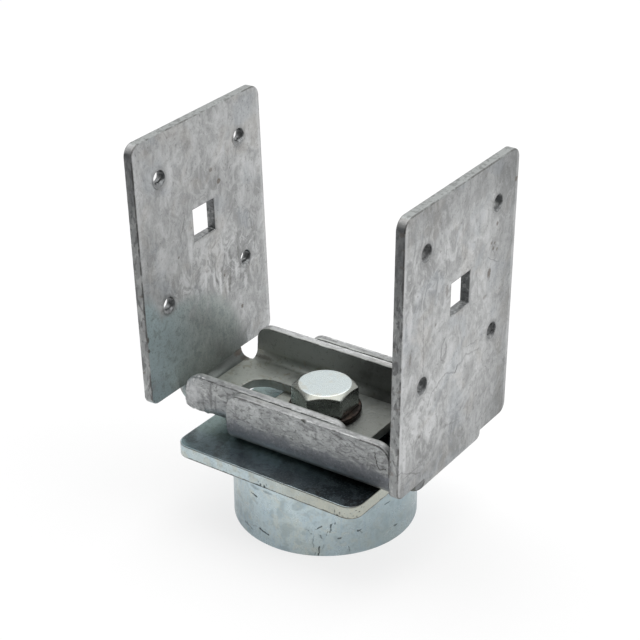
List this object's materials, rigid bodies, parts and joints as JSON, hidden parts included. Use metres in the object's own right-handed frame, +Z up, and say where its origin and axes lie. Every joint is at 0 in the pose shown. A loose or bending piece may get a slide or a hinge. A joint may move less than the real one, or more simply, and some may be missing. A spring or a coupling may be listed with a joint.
{
  "type": "timber post base",
  "caption": "Adjustable U-shaped timber post base: nested slotted angle brackets clamped by a hex bolt to a square plate on a round collar.",
  "frame": {"origin": "on the collar's axis, at the collar's lower rim", "axes": "+Z up along the collar and the bolt, +X from the left upright (inner bracket) to the right one"},
  "size_m": [0.1255, 0.0888, 0.1609],
  "materials": {
    "galvanised_sheet": "dull mottled hot-dip zinc",
    "zinc_plated_steel": "satin bluish zinc",
    "bolt_steel": "satin zinc",
    "washer_steel": "dark tarnished",
    "weld_bead": "zinc-coated rippled weld"
  },
  "bodies": {
    "base": {"cap_plate": "zinc_plated_steel", "collar_ring": "zinc_plated_steel", "collar_weld": "weld_bead", "weld_nut": "bolt_steel", "nut_weld": "weld_bead"},
    "clamp_bolt": {"hex_bolt": "bolt_steel", "flat_washer": "washer_steel"},
    "left": {"left_bracket": "galvanised_sheet"},
    "right": {"right_bracket": "galvanised_sheet"}
  },
  "joints": [
    {"name": "swivel", "type": "hinge", "parent": "base", "child": "clamp_bolt", "pos_m": [0, 0, 0.037], "axis": [0, 0, 1], "continuous": true},
    {"name": "left_slide", "type": "slide", "parent": "clamp_bolt", "child": "left", "axis": [1, 0, 0], "range_m": [-0.004, 0.012]},
    {"name": "right_slide", "type": "slide", "parent": "clamp_bolt", "child": "right", "axis": [-1, 0, 0], "range_m": [-0.004, 0.012]}
  ]
}
